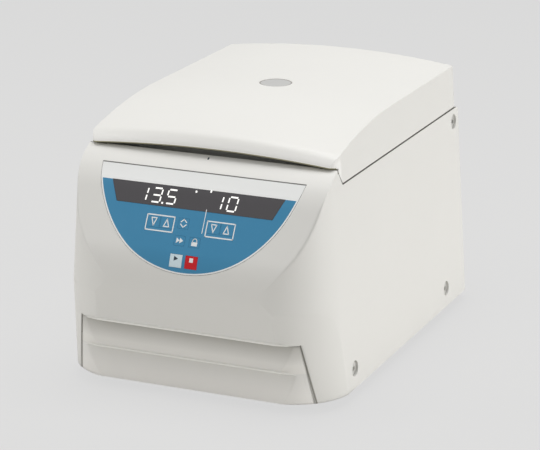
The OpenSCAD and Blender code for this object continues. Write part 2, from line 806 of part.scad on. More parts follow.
module hinge_pins() {
    color(steel) for (s = [-1, 1]) translate([s * hinge_x, hinge_y, hinge_z]) rotate([0, 90, 0])
        cylinder(r = pin_r, h = arm_w + 0.6 + 2 * ear_t, center = true);
}

module lid_hinge_arms() {
    color([0.45, 0.46, 0.48]) for (s = [-1, 1]) translate([s * hinge_x, 0, 0]) difference() {
        union() {
            translate([-arm_w / 2, hinge_y, hinge_z]) rotate([0, 90, 0]) cylinder(r = knuckle_r, h = arm_w);
            translate([-arm_w / 2, lid_rear - 26, liner_top]) cube([arm_w, 26 + hinge_y - lid_rear, 2.5]);
        }
        translate([0, hinge_y, hinge_z]) rotate([0, 90, 0])
            cylinder(r = pin_r + run_gap, h = 60, center = true);
    }
}

// Side view of the lid's crown, drawn in by inset, as [height over the crown's axis, -y]
module crown_side(inset) {
    lift = crown_r - body_h;
    nose = nose_c;
    tangent = fall_c + (fall_r - inset) * (nose_c - fall_c) / norm(nose_c - fall_c);
    rear_round = 7 - min(inset, 3);
    top = body_h - inset;
    translate([lift, 0]) union() {
        translate([nose[1], -nose[0]]) circle(nose_r - inset);
        intersection() {
            translate([fall_c[1], -fall_c[0]]) circle(fall_r - inset, $fn = 360);
            translate([100, 0]) square([far, -tangent[0]]);
        }
        translate([100, -lid_rear + inset]) square([top - 100 - rear_round, lid_rear - inset + 1]);
        translate([top - rear_round - 1, -lid_rear + inset + rear_round])
            square([rear_round + 1, lid_rear - inset - rear_round + 0.5]);
        translate([top - rear_round, -lid_rear + inset + rear_round]) circle(rear_round);
        translate([100, -tangent[0] - 1]) square([nose[1] - 100, -nose[0] + nose_r - inset + tangent[0] + 1]);
    }
}

// The lid as a solid block, drawn in by inset, crowned across and along
module lid_block(inset) {
    spread = 20;
    intersection() {
        translate([0, 0, body_h - crown_r]) rotate([90, 0, 0]) rotate([0, 0, 90 - spread / 2])
            rotate_extrude(angle = spread, $fn = 720) crown_side(inset);
        flank_column(1, inset, lid_front - 0.6, lid_rear, 11, 9);
        flank_column(-1, inset, lid_front - 0.6, lid_rear, 11, 9);
    }
}

// What lies below the lid's skirts, its slanted front corners and its arched lip
module below_lid() {
    across() polygon([[brow_y - 12, -far], [brow_y - 12, lip_side], [brow_y, lip_side],
                      [tip_y, seam_z + lid_gap], [far, seam_z + lid_gap], [far, -far]]);
    intersection() {
        translate([0, 0, lip_mid - lip_r]) rotate([90, 0, 0])
            cylinder(r = lip_r, h = far, center = true, $fn = 720);
        translate([-far, lid_front - 10, 0]) cube([2 * far, brow_y - lid_front + 13, far]);
    }
}

module lid_shell() {
    color(shell_white) difference() {
        union() {
            difference() {
                lid_block(0);
                lid_block(wall);
            }
            // posts that the liner is screwed to
            intersection() {
                lid_block(1);
                for (p = lid_posts()) translate([p[0], p[1], liner_top]) cylinder(r = 5, h = 60);
            }
        }
        below_lid();
        on_axis() cylinder(r = window_d / 2 + 0.1, h = 300);
        for (p = lid_posts()) translate([p[0], p[1], 0]) cylinder(r = 1.7, h = liner_top + 10);
        for (s = [-1, 1]) translate([s * hinge_x - arm_w / 2 - 0.5, lid_rear - 10, 0])
            cube([arm_w + 1, 20, hinge_z + knuckle_r + 1]);
    }
}

function lid_posts() = [for (s = [-1, 1]) for (y = [lid_front + 35, lid_rear - 38]) [s * (half_w - 29.5), y]];

// Inner panel of the lid
module lid_liner() {
    color([0.80, 0.80, 0.79]) difference() {
        union() {
            intersection() {
                lid_block(wall + 0.2);
                translate([-far / 2, tip_y + 3, liner_z]) cube([far, far, liner_t]);
            }
            intersection() {
                lid_block(wall + 0.2);
                translate([-far / 2, tip_y + 3, liner_z]) cube([far, 2.5, 17]);
            }
        }
        on_axis() cylinder(r = 11, h = 300);
        for (p = lid_posts()) translate([p[0], p[1], 0]) cylinder(r = 1.7 + fix_gap, h = 300);
        translate([-10.5, striker_y - 1.2, 0]) cube([21, 2.4, 200]);
        for (s = [-1, 1]) translate([s * hinge_x - arm_w / 2 - 0.5, lid_rear - 3, 0])
            cube([arm_w + 1, 20, 200]);
    }
}

module lid_window() {
    color([0.72, 0.74, 0.75]) intersection() {
        lid_block(0.2);
        on_axis(body_h - 8) cylinder(r = window_d / 2, h = 20);
    }
}

// Tube that lines the sight hole between the liner and the window
module sight_tube() {
    color([0.35, 0.35, 0.36]) on_axis() difference() {
        union() {
            cylinder_between(window_d / 2, liner_top, body_h - 8);
            cylinder_between(window_d / 2 + 4, liner_top, liner_top + 2);
        }
        cylinder_between(window_d / 2 - 2, liner_top - 1, body_h);
    }
}

// Rubber ring under the liner that closes on the rim of the chamber
module lid_seal() {
    mid = bowl_r + 3;
    color(rubber) on_axis() difference() {
        cylinder_between(mid + 3, seam_z + bowl_t + 0.1, liner_z);
        cylinder_between(mid - 3, seam_z, liner_z + 1);
    }
}

module lid_screws() {
    color(steel) for (p = lid_posts()) translate([p[0], p[1], liner_z]) {
        translate([0, 0, -1.8]) cylinder(r = 3.2, h = 1.8);
        translate([0, 0, -0.1]) cylinder(r = 1.7 - fix_gap, h = 11);
    }
}

module lid_striker() {
    striker_low = hook_z - 2;
    color(steel) difference() {
        union() {
            translate([-9, striker_y - 1, striker_low]) cube([18, 2, liner_top + 2 - striker_low]);
            translate([-9, striker_y - 1, liner_top]) cube([18, 20, 2]);
        }
        translate([-5.5, striker_y - 5, hook_z + 2.5]) cube([11, 10, 10]);
    }
}

// Steel panel behind the opening of the rear wall
module rear_panel() {
    color(steel) difference() {
        translate([-rear_open[0] / 2 - 10, panel_in - 1.5, rear_mid_z - rear_open[1] / 2 - 4])
            cube([rear_open[0] + 20, 1.5, rear_open[1] + 8]);
        translate([inlet_x - 14.5, panel_in - 5, inlet_z - 15]) cube([29, 10, 31]);
        translate([inlet_x - 10.5, panel_in - 5, switch_z - 7]) cube([21, 10, 14]);
        for (i = [0 : 8]) translate([2 + i * 8, panel_in - 5, rear_mid_z - 26]) cube([3.4, 10, 52]);
        for (p = rear_screw_at()) translate([p[0], panel_in + 1, p[1]]) rotate([90, 0, 0])
            cylinder(r = 1.5 + fix_gap, h = 20);
    }
}

module rear_screws() {
    color(steel) for (p = rear_screw_at()) translate([p[0], rear_y - 2, p[1]]) rotate([90, 0, 0])
        pan_screw(1.5, 3.4, 1.8, 6);
}

// Mains inlet with its socket above and the place of the fuse drawer below
module power_inlet() {
    color(rubber) difference() {
        union() {
            translate([inlet_x - 25, panel_in, inlet_z - 18]) cube([50, 2, 37]);
            translate([inlet_x - 14, panel_in - 22, inlet_z - 14.5]) cube([28, 22, 30]);
        }
        translate([inlet_x - 12, panel_in - socket_deep, socket_z - 5.5]) cube([24, 30, 16]);
        translate([inlet_x - 11.3, panel_in - 19, inlet_z - 12.3]) cube([22.6, 30, 7.6]);
    }
}

// The three contacts of the inlet, seated on the socket's rear wall
module inlet_pins() {
    color(steel) for (x = [-7, 0, 7])
        translate([inlet_x + x - 1, panel_in - socket_deep, socket_z + (x == 0 ? 3 : 0)]) cube([2, 13.5, 4]);
}

module fuse_drawer() {
    color([0.14, 0.14, 0.14]) translate([inlet_x - 11, panel_in - 18, inlet_z - 12]) difference() {
        cube([22, 20, 7]);
        translate([2, 2, 1.5]) cube([18, 14, 10]);
    }
}

module switch_frame() {
    color(rubber) difference() {
        union() {
            translate([inlet_x - 13, panel_in, switch_z - 9.5]) cube([26, 1.6, 19]);
            translate([inlet_x - 10, panel_in - 16, switch_z - 6.5]) cube([20, 16, 13]);
        }
        translate([inlet_x - 8.2, panel_in - 13, switch_z - 5.2]) cube([16.4, 20, 10.4]);
        translate([inlet_x, panel_in - 6, 0]) cylinder(r = 1.5 + fix_gap, h = 200);
    }
}

module power_rocker() {
    color(stop_red) difference() {
        translate([inlet_x, panel_in - 6, 0]) rotate([0, 0, 8]) union() {
            translate([-6.9, 0, switch_z - 4.8]) cube([13.8, 7.6, 9.6]);
            translate([0, 0, switch_z - 4.8]) cylinder(r = 3.4, h = 9.6);
        }
        translate([-far, rear_y - 0.6, 0]) cube([far * 2, 20, far]);
    }
    color(steel) translate([inlet_x, panel_in - 6, switch_z - 6.4]) cylinder(r = 1.5, h = 12.8);
}

base_plate();
rubber_feet();
foot_screws();
housing();
front_grille();
side_screws();
panel_overlay();
display_window();
display_board();
digit_modules();
control_board();
key_switches();
speed_down_key();
speed_up_key();
mode_key();
time_down_key();
time_up_key();
pulse_key();
open_key();
start_key();
stop_key();
rotor_bowl();
bowl_seal();
motor_body();
motor_bearings();
motor_mounts();
motor_bracket();
motor_shaft();
rotor();
rotor_nut();
shaft_fan();
power_board();
board_parts();
heat_sink();
latch_frame();
latch_pin();
latch_hook();
latch_solenoid();
release_plug();
hinge_frame();
hinge_pins();
lid_hinge_arms();
lid_shell();
lid_liner();
lid_window();
sight_tube();
lid_seal();
lid_screws();
lid_striker();
rear_panel();
rear_screws();
power_inlet();
inlet_pins();
fuse_drawer();
switch_frame();
power_rocker();
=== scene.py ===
# %% [markdown]
# # A bench microcentrifuge
#
# The solids of the machine come from its CAD model, as a frame of named pieces that sit on
# named bodies. Here we give them a camera, light and finishes, and add what a CAD model
# leaves out: soft edges, fine beads on two lips, printed signs, lit digits and surface grain.
#
# All lengths are in metres. +X is to the right of the control panel, -Y is the front and
# the machine stands on z = 0.

import json
import math

import bmesh
import bpy
from mathutils import Matrix, Vector


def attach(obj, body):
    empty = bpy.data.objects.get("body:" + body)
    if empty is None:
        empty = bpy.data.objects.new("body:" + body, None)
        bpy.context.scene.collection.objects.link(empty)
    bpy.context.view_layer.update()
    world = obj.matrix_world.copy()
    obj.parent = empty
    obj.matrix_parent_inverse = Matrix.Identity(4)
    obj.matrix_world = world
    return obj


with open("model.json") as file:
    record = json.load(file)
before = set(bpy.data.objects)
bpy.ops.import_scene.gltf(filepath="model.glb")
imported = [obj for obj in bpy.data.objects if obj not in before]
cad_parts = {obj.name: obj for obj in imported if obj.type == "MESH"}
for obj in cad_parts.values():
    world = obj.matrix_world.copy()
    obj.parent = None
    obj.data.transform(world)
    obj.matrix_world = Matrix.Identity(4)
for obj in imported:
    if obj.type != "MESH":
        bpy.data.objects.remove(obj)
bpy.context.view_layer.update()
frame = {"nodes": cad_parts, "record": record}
nodes = frame["nodes"]

# %% [markdown]
# ## Camera
#
# The photograph was taken from the front right, a little above the lid, with a long lens
# from about two metres, so that upright edges hardly converge. A lens of 161 mm on a 36 mm
# sensor gives that view. The camera turns a tenth of a degree about its own axis, which is
# what levels the machine's feet as they are in the picture.

# %% Camera
VIEW_TURN = math.radians(23.297)  # to the right of the front
VIEW_TILT = math.radians(17.087)  # above the horizon
VIEW_ROLL = math.radians(0.1)
VIEW_DISTANCE = 2.0789
LENS = 160.66
SHIFT_RIGHT, SHIFT_UP = 0.005118, 0.012205  # puts the machine where the picture has it

back = Vector((
    math.sin(VIEW_TURN) * math.cos(VIEW_TILT),
    -math.cos(VIEW_TURN) * math.cos(VIEW_TILT),
    math.sin(VIEW_TILT),
))
level_right = Vector((math.cos(VIEW_TURN), math.sin(VIEW_TURN), 0))
level_up = back.cross(level_right)
right = level_right * math.cos(VIEW_ROLL) + level_up * math.sin(VIEW_ROLL)
up = level_up * math.cos(VIEW_ROLL) - level_right * math.sin(VIEW_ROLL)
aim = Vector((0, 0.013, 0.112)) - right * SHIFT_RIGHT - up * SHIFT_UP

lens = bpy.data.cameras.new("camera")
lens.lens = LENS
lens.sensor_width = 36
lens.clip_end = 20
camera = bpy.data.objects.new("camera", lens)
turned = Matrix((right, up, back)).transposed().to_4x4()
camera.matrix_world = Matrix.Translation(aim + back * VIEW_DISTANCE) @ turned
bpy.context.scene.collection.objects.link(camera)
bpy.context.scene.camera = camera
print("camera stands at", [round(v, 3) for v in camera.location])

# %% [markdown]
# ## Light and floor
#
# A product picture is lit by large soft boxes. One broad lamp hangs above and another stands
# level with the right flank, so the lid and that flank are bright and the front falls into
# soft shade; a weaker one at the front left keeps it open. The sky gives the rest. The floor
# is pale and shows the camera nearly one even tone, because most of what the camera sees of
# it is a plain glow; the rest is lit in the usual way, so the machine still has its shadow.

# %% Light
scene = bpy.context.scene
scene.view_settings.view_transform = "Standard"


def area_lamp(name, place, target, size, power):
    """A square soft box at a place, turned towards a target."""
    data = bpy.data.lights.new(name, "AREA")
    data.size = size
    data.energy = power
    lamp = bpy.data.objects.new(name, data)
    lamp.location = place
    direction = Vector(target) - Vector(place)
    lamp.rotation_euler = direction.to_track_quat("-Z", "Y").to_euler()
    scene.collection.objects.link(lamp)
    return lamp


area_lamp("soft_box_above", (0.05, 0.15, 1.7), (0, 0, 0.15), 1.1, 15.6)
area_lamp("soft_box_right", (1.7, 0.25, 0.5), (0, 0, 0.12), 1.0, 9.8)
area_lamp("soft_box_left", (-1.7, -0.8, 1.1), (0, 0, 0.12), 0.9, 8.0)
print("lamps:", len(bpy.data.lights))

# %% Sky and floor
BACKDROP = (0.723, 0.723, 0.723, 1)
SKY_COLOUR = (1.0, 0.995, 0.98, 1)
SKY_STRENGTH = 0.375
PAPER = (0.80, 0.79, 0.77, 1)
GLOW_SHARE = 0.9  # of what the camera sees of the floor

world = bpy.data.worlds.new("studio")
world.use_nodes = True
scene.world = world
sky = world.node_tree
sky.nodes.clear()
rays = sky.nodes.new("ShaderNodeLightPath")
seen = sky.nodes.new("ShaderNodeMath")
seen.operation = "MAXIMUM"
sky.links.new(rays.outputs["Is Camera Ray"], seen.inputs[0])
sky.links.new(rays.outputs["Is Transmission Ray"], seen.inputs[1])
dim = sky.nodes.new("ShaderNodeBackground")
dim.inputs["Color"].default_value = SKY_COLOUR
dim.inputs["Strength"].default_value = SKY_STRENGTH
pale = sky.nodes.new("ShaderNodeBackground")
pale.inputs["Color"].default_value = BACKDROP
pale.inputs["Strength"].default_value = 1.0
pick = sky.nodes.new("ShaderNodeMixShader")
sky.links.new(seen.outputs[0], pick.inputs[0])
sky.links.new(dim.outputs[0], pick.inputs[1])
sky.links.new(pale.outputs[0], pick.inputs[2])
out = sky.nodes.new("ShaderNodeOutputWorld")
sky.links.new(pick.outputs[0], out.inputs[0])

floor_mesh = bpy.data.meshes.new("floor")
reach = 6.0  # half the floor's side
floor_mesh.from_pydata(
    [(-reach, -reach, 0), (reach, -reach, 0), (reach, reach, 0), (-reach, reach, 0)],
    [], [(0, 1, 2, 3)],
)
floor = bpy.data.objects.new("floor", floor_mesh)
scene.collection.objects.link(floor)
paper = bpy.data.materials.new("floor_paper")
paper.use_nodes = True
tree = paper.node_tree
tree.nodes.clear()
rays = tree.nodes.new("ShaderNodeLightPath")
glow = tree.nodes.new("ShaderNodeEmission")
glow.inputs["Color"].default_value = BACKDROP
lit = tree.nodes.new("ShaderNodeBsdfDiffuse")
lit.inputs["Color"].default_value = PAPER
share = tree.nodes.new("ShaderNodeMath")
share.operation = "MULTIPLY"
share.inputs[1].default_value = GLOW_SHARE
mix = tree.nodes.new("ShaderNodeMixShader")
out = tree.nodes.new("ShaderNodeOutputMaterial")
tree.links.new(rays.outputs["Is Camera Ray"], share.inputs[0])
tree.links.new(share.outputs[0], mix.inputs[0])
tree.links.new(lit.outputs[0], mix.inputs[1])
tree.links.new(glow.outputs[0], mix.inputs[2])
tree.links.new(mix.outputs[0], out.inputs[0])
floor_mesh.materials.append(paper)
print("floor of", 2 * reach, "m")

# %% [markdown]
# ## Finishes
#
# The case is injection-moulded plastic: warm white, with a fine spark texture that breaks
# up the gloss. Real mouldings also vary a little in tone over a hand's width. One helper
# makes such a surface from noise in object space: a broad noise for tone, a finer one for
# roughness, and the finest for the bump of the grain. Object space is used because every
# piece keeps its place in the machine's own frame, so the grain has one scale everywhere.

# %% A helper for grained finishes
TONE_SCALE, GLOSS_SCALE = 9.0, 120.0  # the broad and the finer noise
GLOSS_SPREAD = 0.08
GRAIN_DEPTH = 0.0001


def grained(name, colour, rough, grain=2600.0, bump=0.12, tone=0.03, metal=0.0, coat=0.0,
            stretch=(1, 1, 1)):
    """A Principled material with noise in its tone, its roughness and its bump."""
    made = bpy.data.materials.new(name)
    made.use_nodes = True
    tree = made.node_tree
    new, link = tree.nodes.new, tree.links.new
    shader = tree.nodes["Principled BSDF"]
    shader.inputs["Metallic"].default_value = metal
    shader.inputs["Coat Weight"].default_value = coat
    place = new("ShaderNodeTexCoord")
    drawn_out = new("ShaderNodeMapping")
    drawn_out.inputs["Scale"].default_value = stretch
    link(place.outputs["Object"], drawn_out.inputs["Vector"])

    def noise(scale, detail, where):
        """Noise of one scale, read at a place."""
        step = new("ShaderNodeTexNoise")
        step.inputs["Scale"].default_value = scale
        step.inputs["Detail"].default_value = detail
        link(where, step.inputs["Vector"])
        return step.outputs["Fac"]

    tint = new("ShaderNodeMix")
    tint.data_type = "RGBA"
    tint.inputs["A"].default_value = (*[c * (1 - tone) for c in colour], 1)
    tint.inputs["B"].default_value = (*[min(1, c * (1 + tone)) for c in colour], 1)
    link(noise(TONE_SCALE, 3.0, place.outputs["Object"]), tint.inputs["Factor"])
    link(tint.outputs["Result"], shader.inputs["Base Color"])
    gloss = new("ShaderNodeMapRange")
    gloss.inputs["To Min"].default_value = max(0.02, rough - GLOSS_SPREAD)
    gloss.inputs["To Max"].default_value = min(1.0, rough + GLOSS_SPREAD)
    link(noise(GLOSS_SCALE, 4.0, drawn_out.outputs["Vector"]), gloss.inputs["Value"])
    link(gloss.outputs["Result"], shader.inputs["Roughness"])
    raised = new("ShaderNodeBump")
    raised.inputs["Strength"].default_value = bump
    raised.inputs["Distance"].default_value = GRAIN_DEPTH
    link(noise(grain, 2.0, drawn_out.outputs["Vector"]), raised.inputs["Height"])
    link(raised.outputs["Normal"], shader.inputs["Normal"])
    return made


def rgb(red, green, blue):
    """A colour given in sRGB, 0 to 255, as linear light."""
    return tuple((c / 255 / 12.92) if c <= 10 else ((c / 255 + 0.055) / 1.055) ** 2.4
                 for c in (red, green, blue))


# %% [markdown]
# Each material slot of the machine gets one finish. Steel is brushed, so its grain is drawn
# out along one axis; the rotor is anodised aluminium; rubber is nearly without gloss.

# %% Finishes for every slot
case_white = rgb(236, 235, 231)
blue = rgb(68, 144, 186)
finishes = {
    "shell_plastic": grained("case_plastic", case_white, 0.42, tone=0.012),
    "liner_plastic": grained("liner_plastic", rgb(206, 206, 204), 0.5, tone=0.02),
    "key_film": grained("key_film", blue, 0.33, grain=1800, bump=0.05, tone=0.02),
    "start_white": grained("start_film", rgb(222, 240, 247), 0.33, grain=1800, bump=0.05,
                           tone=0.01),
    "stop_red": grained("stop_film", rgb(214, 22, 32), 0.33, grain=1800, bump=0.05,
                        tone=0.02),
    "window_clear": grained("clear_window", rgb(208, 209, 208), 0.12, grain=300, bump=0.02,
                            coat=0.6),
    "dark_plastic": grained("dark_plastic", rgb(36, 36, 38), 0.5, tone=0.05),
    "sheet_steel": grained("sheet_steel", rgb(186, 188, 190), 0.34, grain=1500, bump=0.05,
                           metal=1.0, stretch=(1, 0.03, 1)),
    "machined_steel": grained("machined_steel", rgb(176, 177, 179), 0.28, grain=1900,
                              bump=0.05, metal=1.0, stretch=(0.1, 1, 1)),
    "motor_paint": grained("motor_paint", rgb(82, 84, 88), 0.4, grain=700, bump=0.2),
    "rotor_alloy": grained("anodised_alloy", rgb(160, 164, 170), 0.36, grain=1500,
                           bump=0.06, metal=0.9),
    "soft_rubber": grained("soft_rubber", rgb(30, 30, 31), 0.75, grain=1500, bump=0.2),
    "board_green": grained("board_green", rgb(34, 96, 58), 0.45, grain=500, tone=0.08),
    "part_black": grained("coated_parts", rgb(42, 43, 52), 0.4, tone=0.1),
}
print("finishes:", len(finishes))

# %% [markdown]
# ## Painting by place
#
# The film and the case change their tone from place to place. The helpers here work that out
# from the position of a point. A mask is 1 where a tone belongs and 0 elsewhere, and a ramp
# runs between two numbers. They all add to the material that was opened last.

# %% Helpers for painting by place
def opened(material):
    """A material's tree, its two makers, and the X, Y and Z of a point as sockets."""
    tree = material.node_tree
    place = tree.nodes.new("ShaderNodeTexCoord")
    parts = tree.nodes.new("ShaderNodeSeparateXYZ")
    tree.links.new(place.outputs["Object"], parts.inputs[0])
    return tree, tree.nodes.new, tree.links.new, *parts.outputs


def calculated(operation, first, second=0):
    """A Math node from two numbers or sockets."""
    step = new("ShaderNodeMath")
    step.operation = operation
    for socket, value in zip(step.inputs, (first, second)):
        if isinstance(value, (int, float)):
            socket.default_value = value
        else:
            link(value, socket)
    return step.outputs[0]


def ramp(value, low, high, at_low=0.0, at_high=1.0):
    """A clamped straight ramp of a socket's value."""
    step = new("ShaderNodeMapRange")
    ends = {"From Min": low, "From Max": high, "To Min": at_low, "To Max": at_high}
    for name, number in ends.items():
        step.inputs[name].default_value = number
    link(value, step.inputs["Value"])
    return step.outputs["Result"]


def above(value, level):
    """1 where a value is more than a level, else 0."""
    return calculated("GREATER_THAN", value, level)


def below(value, level):
    """1 where a value is less than a level, else 0."""
    return calculated("LESS_THAN", value, level)


def near(value, middle, reach):
    """1 within reach of a middle value or socket, else 0."""
    return below(calculated("ABSOLUTE", calculated("SUBTRACT", value, middle)), reach)


def all_of(mask, *others):
    """Masks multiplied with one another, so 1 where each is 1."""
    for other in others:
        mask = calculated("MULTIPLY", mask, other)
    return mask


def distance_squared(across, along):
    """Square of the distance from a centre, by its two parts."""
    return calculated("ADD", *[calculated("MULTIPLY", part, part) for part in (across, along)])


def painted(mask, colour):
    """Lay a colour over the material's own where a mask is 1."""
    base = tree.nodes["Principled BSDF"].inputs["Base Color"]
    layer = new("ShaderNodeMix")
    layer.data_type = "RGBA"
    layer.inputs["B"].default_value = (*colour, 1)
    link(base.links[0].from_socket, layer.inputs["A"])
    link(mask, layer.inputs["Factor"])
    link(layer.outputs["Result"], base)


def averaged_normals(radius):
    """Average the normals over a radius, under the grain."""
    rounder = new("ShaderNodeBevel")
    rounder.samples = 8
    link(radius, rounder.inputs["Radius"])
    grain = next(n for n in tree.nodes if n.type == "BUMP")
    link(rounder.outputs["Normal"], grain.inputs["Normal"])


print("painting helpers ready")

# %% [markdown]
# ## The film on the control face
#
# The printed film is white above and blue below, with a thin white line round its round
# edge. Its print is part of the film itself, so it is painted rather than laid on: a point is
# white where it is higher than the blue field, or within a millimetre and a half of the edge,
# which is a circle as seen from the front. Where the film dips into its recess, painted shade
# lines its round edge and its top, and the white strip takes a little painted shade with it.

# %% Film material
BLUE_TOP = 0.1738
BORDER = 0.0015
RIM = 0.0003  # width of the painted shade of the recess, at the round edge
RECESS_SHADE_Z = 0.18435  # and at the top
FILM_TOP = 0.185
FILM_RADIUS = 0.0913
FILM_CENTRE = FILM_TOP + 0.0175  # middle of the round edge
SHADE_Z = (0.1765, 0.1842)  # the strip's painted shade grows between these
SHADE_MOST = 0.14

film = grained("printed_film", blue, 0.33, grain=1800, bump=0.05, tone=0.02)
tree, new, link, x, y, z = opened(film)
from_centre = distance_squared(x, calculated("SUBTRACT", FILM_CENTRE, z))
at_edge = above(from_centre, (FILM_RADIUS - BORDER) ** 2)
painted(calculated("MAXIMUM", at_edge, above(z, BLUE_TOP)), rgb(251, 252, 251))
# Painted shade of the recess: a grey line at the film's round edge and top, and a grey that grows
# towards the top of the white strip.
recess_shade = calculated("MAXIMUM", above(from_centre, (FILM_RADIUS - RIM) ** 2), above(z, RECESS_SHADE_Z))
strip_shade = ramp(z, *SHADE_Z, 0.0, SHADE_MOST)
painted(calculated("MAXIMUM", recess_shade, strip_shade), rgb(120, 120, 117))
finishes["panel_film"] = film
finishes["display_tint"] = grained("display_lens", rgb(88, 86, 89), 0.16, grain=300,
                                   bump=0.01, tone=0.02)
print("film printed, white above", BLUE_TOP)

# %% [markdown]
# ## The case by place
#
# Three mouldings make the case: the housing, the lid and the front grille. Each gets the case
# plastic, and over it painted shade and painted light at a few places. These are painted on,
# so they stay as they are when the light changes:
#
# - painted shade in a band less than a millimetre to each side of a seam, and on the faces
#   that run inwards within that band;
# - dark painted shade on the ledge under the lid's front edge, and olive painted shade on
#   the lid's edge above it;
# - painted light on the lid's nose; painted shade at the top of the grille's upper step, under
#   the lip above it, and painted light towards the foot of each of its two steps.
#
# Where the front runs round into a flank, the normals are averaged over a little more than
# the wall's thickness, so that the light fades across the corner as it does on a moulding.

# %% Housing, lid and grille
SEAM_Z = 0.1813  # the level seam under the lid's flanks
SEAM_HALF = 0.0008
SEAM_X, SEAM_Y = 0.1088, 0.1645  # further in than both, the seam's band isn't painted
TIP_Y = -0.10965  # foot of the slanted seam in front of the lid's flank
TIP_OVER = 0.0004
SLANT_FOOT, SLANT_RISE, SLANT_LEAN = 0.181, 0.014, 0.664
SLANT_MIDDLE, SLANT_HALF, SLANT_X = 0.1882, 0.0076, 0.094
LEDGE_Y, LEDGE_HALF, LEDGE_Z = -0.1168, 0.0022, 0.1915
LIP_RADIUS = 1.1098  # arch of the lid's front edge, seen from the front
LIP_CENTRE = 0.2007 - LIP_RADIUS
LIP_HEIGHT, LIP_X, LIP_Y = 0.0008, 0.1075, -0.115
NOSE_TOP, NOSE_FOOT = 0.009, 0.004  # heights over the arch
NOSE_Y = (-0.110, -0.114)
FRONT_Y = -0.1
GRILLE_Z, GRILLE_X = (0.009, 0.061), (0.106, 0.097)  # foot and top, with half widths there
GRILLE_SEAM_TOP, GRILLE_SEAM_HALF = 0.0616, 0.0005
STEP_Z = 0.0362  # the middle lip, between the grille's steps
UPPER_PAINTED_LIGHT, UPPER_PAINTED_SHADE, LOWER_PAINTED_LIGHT = (0.0600, 0.0400), (0.0440, 0.0605), (0.0350, 0.0150)
UPPER_SHADE_MOST = 0.60
CORNER_X, CORNER_Y, CORNER_Z = (0.078, 0.090), (-0.100, -0.120), (0.178, 0.168)
CORNER_RADIUS = 0.0038

own_finish = {}
for name in ("housing", "lid_shell", "front_grille"):
    own_finish[name] = grained(name + "_plastic", case_white, 0.42, tone=0.012)
    tree, new, link, x, y, z = opened(own_finish[name])
    x = calculated("ABSOLUTE", x)  # both halves are painted alike

    if name == "front_grille":
        # Painted shade and light on the grille's steps: grey under the lip above the upper step,
        # lighter towards the foot of each step.
        painted(all_of(above(z, STEP_Z), ramp(z, *UPPER_PAINTED_LIGHT)), rgb(242, 240, 235))
        painted(ramp(z, *UPPER_PAINTED_SHADE, 0.0, UPPER_SHADE_MOST), rgb(160, 157, 148))
        painted(all_of(below(z, STEP_Z), ramp(z, *LOWER_PAINTED_LIGHT)), rgb(254, 252, 248))

    # Painted shade along the grille's upright seam to the housing.
    upright_seam_shade = near(x, ramp(z, *GRILLE_Z, *GRILLE_X), GRILLE_SEAM_HALF)
    painted(all_of(upright_seam_shade, below(z, GRILLE_SEAM_TOP), below(y, FRONT_Y)), rgb(165, 163, 156))
    # Painted shade in the lid's seam: a band each side of the level seam on the flanks and the
    # rear, and of the slanted seam, with the faces that run inwards from it.
    outside = calculated("MAXIMUM", above(x, SEAM_X), above(y, SEAM_Y))
    flank_seam_shade = all_of(near(z, SEAM_Z, SEAM_HALF), above(y, TIP_Y - TIP_OVER), outside)
    slant_y = ramp(z, SLANT_FOOT, SLANT_FOOT + SLANT_RISE,
                   TIP_Y, TIP_Y - SLANT_RISE * SLANT_LEAN)
    slant_seam_shade = all_of(near(y, slant_y, SEAM_HALF), near(z, SLANT_MIDDLE, SLANT_HALF),
                   above(x, SLANT_X))
    painted(calculated("MAXIMUM", flank_seam_shade, slant_seam_shade), rgb(112, 110, 104))

    if name == "housing":
        # Painted shade: the ledge under the lid's front edge is dark.
        painted(all_of(near(y, LEDGE_Y, LEDGE_HALF), above(z, LEDGE_Z)), rgb(62, 58, 44))
    if name == "lid_shell":
        from_arch = distance_squared(x, calculated("SUBTRACT", z, LIP_CENTRE))
        # Painted light on the lid's nose, just above its front edge.
        nose_painted_light = ramp(from_arch, (LIP_RADIUS + NOSE_TOP) ** 2, (LIP_RADIUS + NOSE_FOOT) ** 2)
        painted(all_of(nose_painted_light, ramp(y, *NOSE_Y)), rgb(254, 253, 250))
        # Painted shade, olive, along the lid's front edge above the dark ledge.
        lip_shade = below(from_arch, (LIP_RADIUS + LIP_HEIGHT) ** 2)
        painted(all_of(lip_shade, below(x, LIP_X), below(y, LIP_Y)), rgb(150, 146, 116))

    corner = all_of(ramp(x, *CORNER_X), ramp(y, *CORNER_Y), ramp(z, *CORNER_Z))
    averaged_normals(calculated("MULTIPLY", corner, CORNER_RADIUS))
print("case mouldings:", len(own_finish))

# %% [markdown]
# The sight glass is darker in its rim, and the flank's screws are plated, so they are
# brighter than the machined parts inside.

# %% Sight glass and flank screws
GLASS_Y = 0.012
GLASS_CLEAR = 0.0127  # radius inside the darker rim

glass = grained("sight_glass", rgb(212, 212, 210), 0.12, grain=300, bump=0.02, coat=0.6,
                tone=0.06)
tree, new, link, x, y, z = opened(glass)
from_middle = distance_squared(x, calculated("SUBTRACT", y, GLASS_Y))
painted(above(from_middle, GLASS_CLEAR ** 2), rgb(176, 173, 168))
own_finish["lid_window"] = glass
own_finish["side_screws"] = grained("plated_screws", rgb(222, 222, 219), 0.30, grain=1900,
                                    bump=0.05, tone=0.08, metal=0.85)
print("own finishes:", len(own_finish))

# %% [markdown]
# ## Softened edges
#
# Nothing on the real machine has a razor edge: mouldings have a radius of about a
# millimetre, bent sheet and screws two tenths. A bevel that only acts on sharp edges gives
# that highlight along each edge, and weighted normals keep the flat faces looking flat. The
# CAD triangles are first merged back into whole faces so that the bevel follows true edges.

# %% Edges and finishes for the carried-over nodes
EDGE = {"housing": 0.0009, "lid_shell": 0.0010, "front_grille": 0.0012, "lid_liner": 0.0008,
        "release_plug": 0.0006, "power_rocker": 0.0006, "rotor": 0.0006}
FINE_EDGE = 0.0002  # all the other nodes
FLUSH = 0.00005  # the film, the lens and the keys lie edge to edge
SAME_FACE = math.radians(0.5)
SHARP = math.radians(32)

